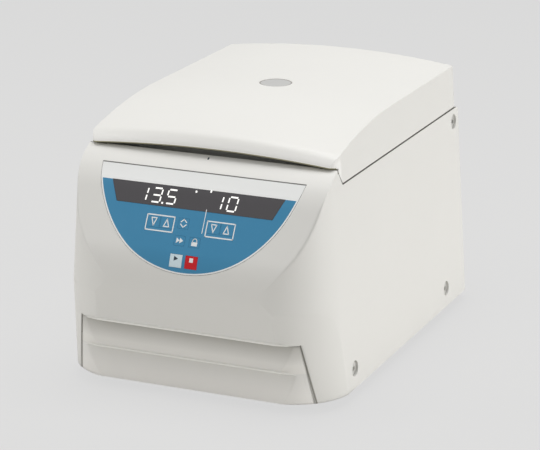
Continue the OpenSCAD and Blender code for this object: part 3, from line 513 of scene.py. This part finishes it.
slot_of = {p["node"]: p["material_slot"] for p in frame["record"]["subparts"]}
for name, node in nodes.items():
    node.data.materials.clear()
    node.data.materials.append(own_finish.get(name) or finishes[slot_of[name]])
    for polygon in node.data.polygons:
        polygon.use_smooth = True
    merge = node.modifiers.new("merge", "DECIMATE")
    merge.decimate_type = "DISSOLVE"
    merge.angle_limit = SAME_FACE
    soften = node.modifiers.new("soften", "BEVEL")
    flush = name.endswith("_key") or name in ("panel_overlay", "display_window")
    soften.width = FLUSH if flush else EDGE.get(name, FINE_EDGE)
    soften.segments = 3 if name in EDGE else 2
    soften.limit_method = "ANGLE"
    soften.angle_limit = SHARP
    soften.miter_outer = "MITER_ARC"
    weigh = node.modifiers.new("weigh", "WEIGHTED_NORMAL")
    weigh.keep_sharp = False
    weigh.weight = 80
print("finished nodes:", len(nodes))

# %% [markdown]
# ## The control face as a surface
#
# Printed signs and lit digits have to lie on the curved face. The face is the same in every
# cross-section, so a height gives its depth and its lean, and a small sign is bent onto it
# point by point.

# %% Shape of the control face
FRONT = -0.178
BELLY_Z, BELLY_R = 0.100, 0.060
BROW_R = 0.062
LEAN = math.radians(29)
FLAT = 0.0445
UNDER = math.radians(9.6)
belly_y = FRONT + BELLY_R
under_high = BELLY_Z - BELLY_R * math.sin(UNDER)
flat_low = BELLY_Z + BELLY_R * math.sin(LEAN)
flat_high = flat_low + FLAT * math.cos(LEAN)
brow_y = belly_y - (BELLY_R - BROW_R) * math.cos(LEAN) + FLAT * math.sin(LEAN)
brow_z = BELLY_Z + (BELLY_R - BROW_R) * math.sin(LEAN) + FLAT * math.cos(LEAN)


def face_lean(z):
    """Lean of the control face from upright at height z."""
    if z < under_high:
        return -UNDER
    if z < flat_low:
        return math.asin((z - BELLY_Z) / BELLY_R)
    if z <= flat_high:
        return LEAN
    return math.asin((z - brow_z) / BROW_R)


def face_depth(z):
    """Y of the control face at height z."""
    if z < under_high:
        return belly_y - BELLY_R * math.cos(UNDER) + (under_high - z) * math.tan(UNDER)
    if z < flat_low:
        return belly_y - BELLY_R * math.cos(face_lean(z))
    if z <= flat_high:
        return belly_y - BELLY_R * math.cos(LEAN) + (z - flat_low) * math.tan(LEAN)
    return brow_y - BROW_R * math.cos(face_lean(z))


def on_face(x, z, lift=0.0):
    """Point that lies lift above the control face at x, z of the front view."""
    lean = face_lean(z)
    return Vector((x, face_depth(z) - lift * math.cos(lean), z + lift * math.sin(lean)))


print("face leans", round(math.degrees(face_lean(0.15)), 1), "degrees at the keys")

# %% [markdown]
# ## Beads of the two lips
#
# The housing's front and the grille's upper step each end in a fine round bead, which shows
# as a bright line with its own shade under it. A bead is a thin tube along the lip that dies
# away towards both ends. It is whiter than the case plastic, a painted highlight added to the
# light it catches.

# %% Lip beads
SIDES = 10
STATIONS = 48
TAPER = 6  # the last sixth towards each end thins out
TIP = 0.08  # share of the radius that is left there
# Painted highlight: the bead is whiter than the case plastic it belongs to.
bead_painted_highlight = grained("bead_plastic_painted_highlight", rgb(250, 249, 244), 0.35, tone=0.01)


def lip_bead(name, z, inset, half_length, radius):
    """Round bead on the front at height z, thinning out towards its ends."""
    mesh = bpy.data.meshes.new(name)
    tube = bmesh.new()
    turns = [2 * math.pi * k / SIDES for k in range(SIDES)]
    rings = []
    for i in range(STATIONS + 1):
        along = -1 + 2 * i / STATIONS
        thin = radius * min(1.0, (1 - abs(along)) * TAPER + TIP)
        middle = on_face(along * half_length, z, -inset)
        rings.append([
            tube.verts.new(middle + Vector((0, thin * math.cos(turn), thin * math.sin(turn))))
            for turn in turns])
    for first, second in zip(rings, rings[1:]):
        for k in range(SIDES):
            j = (k + 1) % SIDES
            tube.faces.new((first[k], first[j], second[j], second[k])).smooth = True
    tube.faces.new(rings[0][::-1])
    tube.faces.new(rings[-1])
    bmesh.ops.recalc_face_normals(tube, faces=tube.faces)
    tube.to_mesh(mesh)
    tube.free()
    mesh.materials.append(bead_painted_highlight)
    piece = bpy.data.objects.new(name, mesh)
    scene.collection.objects.link(piece)
    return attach(piece, "base")


lip_bead("upper_lip_bead", z=0.0622, inset=0.0001, half_length=0.0900, radius=0.0011)
lip_bead("middle_lip_bead", z=0.0374, inset=0.0005, half_length=0.0950, radius=0.0010)
print("beads made")

# %% [markdown]
# ## Signs
#
# The signs are ink, so each is a layer a tenth of a millimetre thick on what carries it. A
# line sign is a row of bars along its path; a filled sign is one or two polygons. Signs on a
# key ride with that key.

# %% Ink helpers
INK = 0.00006  # reach of the ink above its lift
ROOT = 0.00004  # and below
FILM_LIFT = -0.00006  # the film and the lens lie 0.1 mm below the face's outline
KEY_LIFT = -0.00001
ink_white = grained("white_ink", rgb(246, 249, 250), 0.4, grain=1500, bump=0.05, tone=0.01)
ink_dark = grained("dark_ink", rgb(44, 62, 76), 0.4, grain=1500, bump=0.05, tone=0.02)


def ink_piece(name, outlines, material, body, lift=FILM_LIFT):
    """Flat prisms on the control face from closed outlines of (x, z) points."""
    mesh = bpy.data.meshes.new(name)
    sheet = bmesh.new()
    for outline in outlines:
        low = [sheet.verts.new(on_face(x, z, lift - ROOT)) for x, z in outline]
        high = [sheet.verts.new(on_face(x, z, lift + INK)) for x, z in outline]
        sheet.faces.new(high)
        sheet.faces.new(low[::-1])
        for i in range(len(outline)):
            j = (i + 1) % len(outline)
            sheet.faces.new((low[i], low[j], high[j], high[i]))
    bmesh.ops.recalc_face_normals(sheet, faces=sheet.faces)
    sheet.to_mesh(mesh)
    sheet.free()
    mesh.materials.append(material)
    piece = bpy.data.objects.new(name, mesh)
    scene.collection.objects.link(piece)
    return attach(piece, body)


def bars(path, width, closed=True):
    """Quads of one width along a path, which together draw its line."""
    quads = []
    steps = len(path) if closed else len(path) - 1
    for i in range(steps):
        a, b = Vector(path[i]), Vector(path[(i + 1) % len(path)])
        along = (b - a).normalized() * width / 2
        across = Vector((-along.y, along.x))
        quads.append([tuple(p) for p in (a - along + across, a - along - across,
                                         b + along - across, b + along + across)])
    return quads


print("ink layers are", round((INK + ROOT) * 1000, 3), "mm thick")

# %% [markdown]
# The speed and time keys show a hollow triangle each, in a box that frames the pair. The box
# is on the film, round the keys; the triangles are on the keys. Two chevrons switch what the
# display shows, a double arrow starts a short spin and an open lock lets the lid go. A dark
# triangle starts a run and a white square stops it. A dark dot marks the brow, close to the
# middle.

# %% Signs on the film and the keys
FRAME_LINE = 0.0009
SIGN_LINE = 0.0008
LOCK_LINE = 0.0007
DIVIDER_LINE = 0.0006
BROW_LIFT = 0.00003


def triangle(x, z, width, height):
    """Hollow triangle, pointing down when height is negative."""
    return [(x - width / 2, z - height / 2), (x + width / 2, z - height / 2), (x, z + height / 2)]


def box_round(x0, x1, z0, z1):
    """Corners of an upright box in the front view."""
    return [(x0, z0), (x1, z0), (x1, z1), (x0, z1)]


def round_path(x, z, half_width, half_height, degrees):
    """Points round a middle, at these turns."""
    return [(x + half_width * math.cos(math.radians(turn)),
             z + half_height * math.sin(math.radians(turn))) for turn in degrees]


speed_box = box_round(-0.0385, -0.0145, 0.1411, 0.1521)
time_box = box_round(0.0142, 0.0382, 0.1413, 0.1523)
ink_piece("speed_frame", bars(speed_box, FRAME_LINE), ink_white, "base")
ink_piece("time_frame", bars(time_box, FRAME_LINE), ink_white, "base")
divider = bars([(0.0112, 0.1432), (0.0112, 0.1600)], DIVIDER_LINE, closed=False)
ink_piece("divider", divider, ink_white, "base")
for name, x, z, sign in (("speed_down", -0.0321, 0.1473, -1), ("speed_up", -0.0207, 0.1473, 1),
                         ("time_down", 0.0203, 0.1475, -1), ("time_up", 0.0317, 0.1475, 1)):
    ink_piece(name + "_sign", bars(triangle(x, z, 0.0046, 0.0054 * sign), SIGN_LINE),
              ink_white, name + "_button", lift=KEY_LIFT)
for sign in (-1, 1):
    z = 0.1485 + sign * 0.0009
    path = [(-0.0084, z), (-0.0060, z + sign * 0.0019), (-0.0036, z)]
    ink_piece("mode_sign_" + ("up" if sign > 0 else "down"), bars(path, SIGN_LINE, closed=False),
              ink_white, "mode_button", lift=KEY_LIFT)
ink_piece("pulse_sign", [
    [(-0.0094, 0.1381), (-0.0094, 0.1341), (-0.0064, 0.1361)],
    [(-0.0064, 0.1381), (-0.0064, 0.1341), (-0.0034, 0.1361)],
], ink_white, "pulse_button", lift=KEY_LIFT)
arch = round_path(0.0066, 0.1367, 0.0018, 0.0019, range(200, -1, -20))
lock = [box_round(0.0041, 0.0091, 0.1334, 0.1362)] + bars(arch, LOCK_LINE, closed=False)
ink_piece("open_sign", lock, ink_white, "open_button", lift=KEY_LIFT)
ink_piece("start_sign", [[(-0.0084, 0.1249), (-0.0084, 0.1213), (-0.0048, 0.1231)]], ink_dark,
          "start_button", lift=KEY_LIFT)
ink_piece("stop_sign", [box_round(0.0051, 0.0083, 0.1215, 0.1247)], ink_white, "stop_button",
          lift=KEY_LIFT)
dot = round_path(-0.001, 0.1932, 0.0007, 0.0007, range(0, 360, 30))
ink_piece("brow_mark", [dot], ink_dark, "base", lift=BROW_LIFT)
print("signs made")

# %% [markdown]
# ## Digits
#
# The display shows numbers with seven lit segments each, leaning a little to the right. A
# segment is a bar with gaps to its neighbours. The bars glow evenly, so their material has
# some emission with a faint unevenness; they sit just above the dark lens.

# %% Lit digits
glowing = grained("lit_segment", rgb(250, 250, 246), 0.4, grain=900, bump=0.02, tone=0.02)
shader = glowing.node_tree.nodes["Principled BSDF"]
shader.inputs["Emission Color"].default_value = (1.0, 1.0, 0.97, 1)
shader.inputs["Emission Strength"].default_value = 0.55
SEGMENTS = {"0": "abcdef", "1": "bc", "3": "abgcd", "5": "afgcd"}
SLANT = 0.13
BAR = 0.0011
CORNER_GAP = 0.0006
BAR_END = 0.0001  # each end of a bar stops this much short
DIGIT_Z, DIGIT_WIDTH, DIGIT_HEIGHT = 0.1611, 0.0076, 0.0100
POINT_HALF = 0.0007


def digit_outlines(digit, x, z, width, height):
    """Outlines of one digit's lit bars, with x, z at its lower left corner."""
    gap = CORNER_GAP
    mid = z + height / 2
    high = z + height
    ends = {
        "a": ((x + gap, high), (x + width - gap, high)),
        "b": ((x + width, high - gap), (x + width, mid + gap)),
        "c": ((x + width, mid - gap), (x + width, z + gap)),
        "d": ((x + gap, z), (x + width - gap, z)),
        "e": ((x, mid - gap), (x, z + gap)),
        "f": ((x, high - gap), (x, mid + gap)),
        "g": ((x + gap, mid), (x + width - gap, mid)),
    }
    made = []
    for segment in SEGMENTS[digit]:
        a, b = (Vector(p) for p in ends[segment])
        along = (b - a).normalized()
        across = Vector((-along.y, along.x)) * BAR / 2
        short = along * BAR_END
        corners = [a + short + across, a + short - across, b - short - across, b - short + across]
        made.append([(p.x + (p.y - z) * SLANT, p.y) for p in corners])
    return made


lit_bars = []
for digit, x in (("1", -0.0510), ("3", -0.0385), ("5", -0.0255), ("1", 0.0150), ("0", 0.0278)):
    lit_bars += digit_outlines(digit, x, DIGIT_Z, DIGIT_WIDTH, DIGIT_HEIGHT)
for x, z in ((-0.0282, 0.1610), (-0.0007, 0.1719), (0.0119, 0.1732)):
    lit_bars.append(box_round(x - POINT_HALF, x + POINT_HALF, z - POINT_HALF, z + POINT_HALF))
ink_piece("lit_digits", lit_bars, glowing, "base")
print("lit bars:", len(lit_bars))
